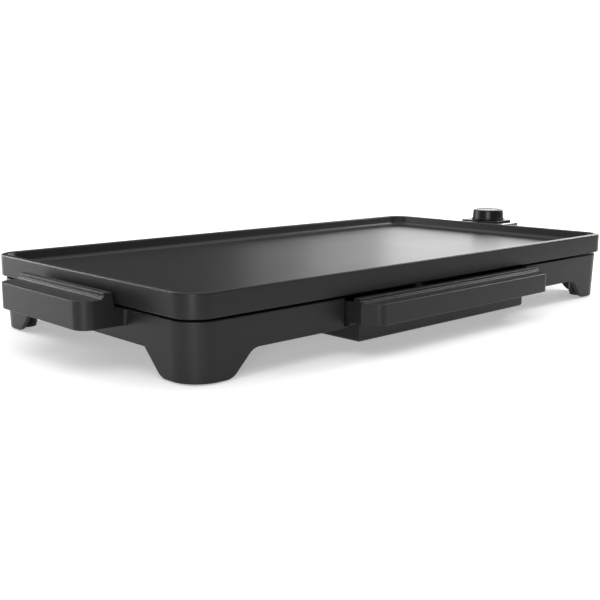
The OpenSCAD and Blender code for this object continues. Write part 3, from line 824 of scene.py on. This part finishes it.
class GRIDDLE_OT_knob(bpy.types.Operator):
    """Makes the dial knob with its skirt ring and dished top"""

    bl_idname = "griddle.knob"
    bl_label = "Dial knob"

    def execute(self, context):
        low, high = node_box("dial_knob")
        x, y = (low.x + high.x) / 2, (low.y + high.y) / 2
        radius = (high.x - low.x) / 2
        ring_top = low.z + 2.4
        knob = upright("knob", x, y, radius, low.z, ring_top, 96)
        narrow = 1 - shapes().knob_taper / radius
        with Shaping(knob) as work:
            work.faces(lambda p, n: n.z > 0.999)
            work.inset(0.7)
            work.extrude(z=high.z - ring_top)
            work.resize((x, y, high.z), narrow, narrow, 1)
            work.sharp_edges(lambda p: p.z > high.z - 0.1, 60)
            work.bevel(1.3, 4)
            work.sharp_edges(lambda p: abs(p.z - ring_top) < 0.1, 60)
            work.bevel(0.35, 2)
            work.faces(lambda p, n: n.z > 0.999 and p.z > high.z - 0.1)
            work.inset(1.6)
            work.inset(0.5)
            work.extrude(z=-0.5)
            work.faces(lambda p, n: n.z < -0.999 and p.z < low.z + 0.1)
            work.inset(1.4)
            work.extrude(z=1.6)
            work.sharp_edges(
                lambda p: p.z < low.z + 0.1 and (p.xy - Vector((x, y))).length > radius - 0.5, 60
            )
            work.bevel(0.4, 2)
        smooth(knob, 30)
        finish = dial_plastic(
            "knob_plastic", colours().knob, colours().mark, spot(x, y, high.z - 1.5)
        )
        settle(knob, "dial", "knob_plastic", finish, "dial_knob")
        return {"FINISHED"}


class GRIDDLE_OT_lamp(bpy.types.Operator):
    """Makes the pilot light's domed lens"""

    bl_idname = "griddle.lamp"
    bl_label = "Pilot light"

    def execute(self, context):
        low, high = node_box("pilot_lens")
        x, y = (low.x + high.x) / 2, (low.y + high.y) / 2
        radius = (high.x - low.x) / 2
        lens = upright("lamp_lens", x, y, radius, low.z, high.z - 0.9)
        with Shaping(lens) as work:
            work.faces(lambda p, n: n.z > 0.999)
            for step, lift in ((0.5, 0.45), (0.8, 0.27), (1.1, 0.14), (0.9, 0.04)):
                work.inset(step)
                work.move(z=lift)
        smooth(lens, 40)
        finish = lamp_body("red_lens", colours().lens)
        settle(lens, "control", "red_lens", finish, "pilot_lens")
        return {"FINISHED"}


class GRIDDLE_OT_gland(bpy.types.Operator):
    """Makes the rubber sleeve of the cord's inlet, tapered and ribbed"""

    bl_idname = "griddle.gland"
    bl_label = "Cord inlet"

    def execute(self, context):
        low, high = node_box("cord_gland")
        y, z = (low.y + high.y) / 2, (low.z + high.z) / 2
        radius = (high.y - low.y) / 2
        wall_x = node_box("control_cover")[1].x
        sleeve = lying("cord_sleeve", wall_x + 0.1, wall_x + 2.2, y, z, radius)
        with Shaping(sleeve) as work:
            work.sharp_edges(lambda p: p.x > wall_x + 2, 60)
            work.bevel(0.5, 3)
            work.faces(lambda p, n: n.x > 0.999 and p.x > wall_x + 2)
            work.inset(1.1)
            reach = high.x - wall_x - 2.2
            for _ in range(3):
                for share, grow in ((0.2, 0.9), (0.1333, 1.06)):
                    work.extrude(x=reach * share)
                    work.resize((0, y, z), 1, grow, grow)
        neck = lying("neck", low.x + 1, wall_x + 1, y, z, 5.5)
        collar = lying("collar", low.x, low.x + 2.4, y, z, radius)
        weld(sleeve, neck, collar)
        cut(sleeve, lying("bore", low.x - 2, high.x + 2, y, z, 3.6))
        smooth(sleeve, 30)
        finish = soft_rubber("inlet_rubber", (0.02, 0.02, 0.02), 0.6)
        settle(sleeve, "control", "rubber", finish, "cord_gland")
        return {"FINISHED"}


class GRIDDLE_OT_feet(bpy.types.Operator):
    """Makes the four rubber feet with their hollowed soles"""

    bl_idname = "griddle.feet"
    bl_label = "Rubber feet"

    def execute(self, context):
        high = node_box("rubber_feet")[1]
        x, y = high.x - FOOT_RADIUS, high.y - FOOT_RADIUS
        foot = upright("foot", x, y, FOOT_RADIUS, 0, FOOT_HEIGHT)
        with Shaping(foot) as work:
            work.sharp_edges(lambda p: p.z < 0.1, 60)
            work.bevel(0.8, 3)
            work.faces(lambda p, n: n.z < -0.999)
            work.inset(2.2)
            work.inset(0.5)
            work.move(z=0.6)
            work.faces(lambda p, n: n.z > 0.999 and p.z > FOOT_HEIGHT - 0.1)
            work.inset(6)
            work.extrude(z=high.z - FOOT_HEIGHT)
        feet = [foot]
        for sign_x, sign_y in ((-1, 1), (-1, -1), (1, -1)):
            feet.append(copy_at(foot, (sign_x - 1) * x, (sign_y - 1) * y))
        piece = gather("feet", feet)
        smooth(piece, 30)
        finish = soft_rubber("foot_rubber", (0.022, 0.022, 0.022), 0.7)
        settle(piece, "base", "rubber", finish, "rubber_feet")
        return {"FINISHED"}


def screw(head_z, shank_z):
    """A cross-recessed screw on the plate's middle, its head up and its shank below."""
    radius, height = SCREW_HEAD
    head = upright("screw", 0, 0, radius, head_z, head_z + height, 32)
    with Shaping(head) as work:
        work.sharp_edges(lambda p: p.z > head_z + height - 0.1, 60)
        work.bevel(0.9, 4)
    cut(
        head,
        block("slot", (-1.7, -0.35, head_z + 0.9), (1.7, 0.35, head_z + 3)),
        block("slot", (-0.35, -1.7, head_z + 0.9), (0.35, 1.7, head_z + 3)),
    )
    weld(head, upright("shank", 0, 0, SCREW_SHANK, shank_z, head_z + 0.4, 24))
    return head


class GRIDDLE_OT_screws(bpy.types.Operator):
    """Makes the screws of the reflector, the bracket, the tray and the control"""

    bl_idname = "griddle.screws"
    bl_label = "Screws"

    def execute(self, context):
        zinc = brushed_metal("zinc_plate", (0.66, 0.66, 0.67), 0.3, (20, 20, 1))
        black = brushed_metal("black_oxide", (0.05, 0.05, 0.053), 0.45, (20, 20, 1))
        radius, height = SCREW_HEAD
        for node, name, body, columns, rows, upside, slot, finish in (
            ("reflector_screws", "sheet_screws", "base", 2, 2, False, "zinc_screws", zinc),
            ("bracket_screws", "bracket_fixings", "plate", 1, 2, True, "zinc_screws", zinc),
            ("tray_screws", "grip_screws", "tray", 3, 1, False, "black_screws", black),
            ("control_screws", "housing_screws", "control", 2, 2, True, "zinc_screws", zinc),
        ):
            low, high = node_box(node)
            long = high.z - low.z
            first = screw(long - height, 0)
            if upside:
                middle = Matrix.Translation(spot(0, 0, long / 2))
                over = middle @ Matrix.Rotation(math.pi, 4, "X") @ middle.inverted()
                first.data.transform(over)
            made = []
            for column in range(columns):
                for row in range(rows):
                    share_x = column / (columns - 1) if columns > 1 else 0.5
                    share_y = row / (rows - 1) if rows > 1 else 0.5
                    x = low.x + radius + (high.x - low.x - 2 * radius) * share_x
                    y = low.y + radius + (high.y - low.y - 2 * radius) * share_y
                    made.append(copy_at(first, x, y, low.z))
            bpy.data.objects.remove(first)
            piece = gather(name, made)
            smooth(piece, 30)
            settle(piece, body, slot, finish, node)
        return {"FINISHED"}


class GRIDDLE_OT_fittings(bpy.types.Operator):
    """Finishes the metal, ceramic and rubber pieces that keep the frame's shapes"""

    bl_idname = "griddle.fittings"
    bl_label = "Inner fittings"

    def execute(self, context):
        steel = tuple(colours().steel)
        sheet = brushed_metal("sheet_steel", shade_of(steel, 0.6), 0.38, (2, 40, 2), 0.01, 0.25)
        bright = brushed_metal("turned_steel", steel, 0.28, (1, 40, 40))
        sheath = brushed_metal("element_sheath", (0.2, 0.2, 0.205), 0.5, (8, 8, 8), 0.02, 0.6)
        sooty = brushed_metal("greased_steel", (0.05, 0.045, 0.04), 0.55, (8, 8, 8), 0.02, 0.3)
        brass = brushed_metal("drawn_brass", (0.78, 0.6, 0.3), 0.32, (1, 30, 30))
        bimetal = brushed_metal("switch_metal", shade_of(steel, 0.8), 0.34, (30, 1, 30), 0.01, 0.3)
        finishes = {
            "heat_reflector": sheet,
            "terminal_bracket": sheet,
            "heating_element": sheath,
            "terminal_pins": bright,
            "probe_rod": bright,
            "probe_well": bright,
            "knob_spindle": bright,
            "drain_spout": sooty,
            "thermostat_switch": bimetal,
            "contact_sleeves": brass,
            "spindle_bush": brass,
            "plate_rests": soft_rubber("rest_silicone", (0.36, 0.08, 0.05), 0.62),
            "pin_insulators": fired_ceramic("white_ceramic", (0.82, 0.8, 0.74), 0.25),
            "supply_terminals": fired_ceramic("terminal_ceramic", (0.8, 0.77, 0.7), 0.35),
            "contact_block": fired_ceramic("brown_phenolic", (0.045, 0.03, 0.025), 0.42),
            "pilot_lamp": lamp_body("lamp_glass", (0.95, 0.55, 0.25), 0.0, 0.6),
        }
        for node, finish in finishes.items():
            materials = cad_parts[node].data.materials
            materials.clear()
            materials.append(finish)
        return {"FINISHED"}


# ---------------------------------------------------------------------- stage


def aim(item, place, target):
    """Puts a light or camera at a place, in metres, turned towards a target."""
    item.location = place
    item.rotation_euler = (Vector(target) - Vector(place)).to_track_quat("-Z", "Y").to_euler()


def softbox(name, place, target, width, height, strength):
    """A soft area light whose strength is in watts for each square metre."""
    light = bpy.data.lights.new(name, "AREA")
    light.shape = "RECTANGLE"
    light.size, light.size_y = width, height
    light.energy = strength * width * height
    item = bpy.data.objects.new(name, light)
    bpy.context.scene.collection.objects.link(item)
    aim(item, place, target)
    item.visible_camera = False
    return item


# Name, place, target, width, height and strength of each light
SOFTBOXES = (
    ("top_light", (-0.1, 0.1, 2.2), (0, 0, 0), 4.5, 4.5, 5.2),
    ("left_light", (-0.75, 1.75, 0.45), (-0.3, 0, 0.05), 0.9, 0.9, 26),
    ("right_light", (2.3, 1.0, 0.55), (0, 0.05, 0.05), 1.6, 1.1, 11.5),
    ("right_fill", (1.78, 1.75, 0.55), (0, 0.05, 0.05), 0.22, 1.1, 4.5),
    ("right_end", (1.61, 1.9, 0.55), (0, 0.05, 0.05), 0.26, 1.1, 1.8),
    ("right_line", (1.71, -0.29, 1.0), (0, -0.1, 0.05), 0.6, 0.4, 70),
    ("back_line", (-0.34, 1.37, 1.41), (-0.2, 0, 0.05), 0.6, 0.5, 14),
    ("near_line", (-1.75, -1.35, 0.3), (-0.2, -0.1, 0.04), 0.35, 0.55, 110),
)


class GRIDDLE_OT_stage(bpy.types.Operator):
    """Makes the floor, the soft light and the camera"""

    bl_idname = "griddle.stage"
    bl_label = "Studio"

    def execute(self, context):
        scene = context.scene
        clear_selection()
        bpy.ops.mesh.primitive_circle_add(vertices=96, radius=2, fill_type="NGON")
        floor = named("studio_floor")
        floor.data.materials.append(pale_floor("pale_floor", colours().floor, 0.38))

        for row in SOFTBOXES:
            softbox(*row)

        world = bpy.data.worlds.new("studio")
        scene.world = world
        world.use_nodes = True
        nodes = world.node_tree.nodes
        links = world.node_tree.links
        dim = nodes["Background"]
        dim.inputs["Color"].default_value = (1, 1, 1, 1)
        dim.inputs["Strength"].default_value = 0.07
        white = nodes.new("ShaderNodeBackground")
        white.inputs["Color"].default_value = (1, 1, 1, 1)
        white.inputs["Strength"].default_value = 1.1
        path = nodes.new("ShaderNodeLightPath")
        mix = nodes.new("ShaderNodeMixShader")
        links.new(path.outputs["Is Camera Ray"], mix.inputs[0])
        links.new(dim.outputs[0], mix.inputs[1])
        links.new(white.outputs[0], mix.inputs[2])
        links.new(mix.outputs[0], nodes["World Output"].inputs[0])

        lens = bpy.data.cameras.new("camera")
        lens.lens = 54.4
        lens.sensor_width = 36
        lens.clip_start = 0.01
        camera = bpy.data.objects.new("camera", lens)
        scene.collection.objects.link(camera)
        camera.location = (-0.6537, -0.62635, 0.1759)
        camera.rotation_euler = (math.radians(90 - 10.5), 0, math.radians(-43.12))
        scene.camera = camera
        scene.view_settings.view_transform = "Standard"
        return {"FINISHED"}


# ---------------------------------------------------------------------- panel

BUILD_ORDER = (
    GRIDDLE_OT_plate,
    GRIDDLE_OT_base,
    GRIDDLE_OT_tray,
    GRIDDLE_OT_control,
    GRIDDLE_OT_knob,
    GRIDDLE_OT_lamp,
    GRIDDLE_OT_gland,
    GRIDDLE_OT_feet,
    GRIDDLE_OT_screws,
    GRIDDLE_OT_fittings,
    GRIDDLE_OT_stage,
)


class GRIDDLE_PT_panel(bpy.types.Panel):
    """Lists the griddle's settings and the steps that build it"""

    bl_idname = "GRIDDLE_PT_panel"
    bl_label = "Electric griddle"
    bl_space_type = "VIEW_3D"
    bl_region_type = "UI"
    bl_category = "Griddle"

    def draw(self, context):
        layout = self.layout
        for group in (context.scene.griddle_shapes, context.scene.griddle_colours):
            for name in group.__annotations__:
                layout.prop(group, name)
        for step in BUILD_ORDER:
            layout.operator(step.bl_idname)


CLASSES = (GriddleShapes, GriddleColours, *BUILD_ORDER, GRIDDLE_PT_panel)


def register():
    for made in CLASSES:
        bpy.utils.register_class(made)
    bpy.types.Scene.griddle_shapes = bpy.props.PointerProperty(type=GriddleShapes)
    bpy.types.Scene.griddle_colours = bpy.props.PointerProperty(type=GriddleColours)


def unregister():
    del bpy.types.Scene.griddle_colours
    del bpy.types.Scene.griddle_shapes
    for made in reversed(CLASSES):
        bpy.utils.unregister_class(made)


def main():
    register()
    for step in BUILD_ORDER:
        group, name = step.bl_idname.split(".")
        getattr(getattr(bpy.ops, group), name)()


if __name__ == "__main__":
    main()
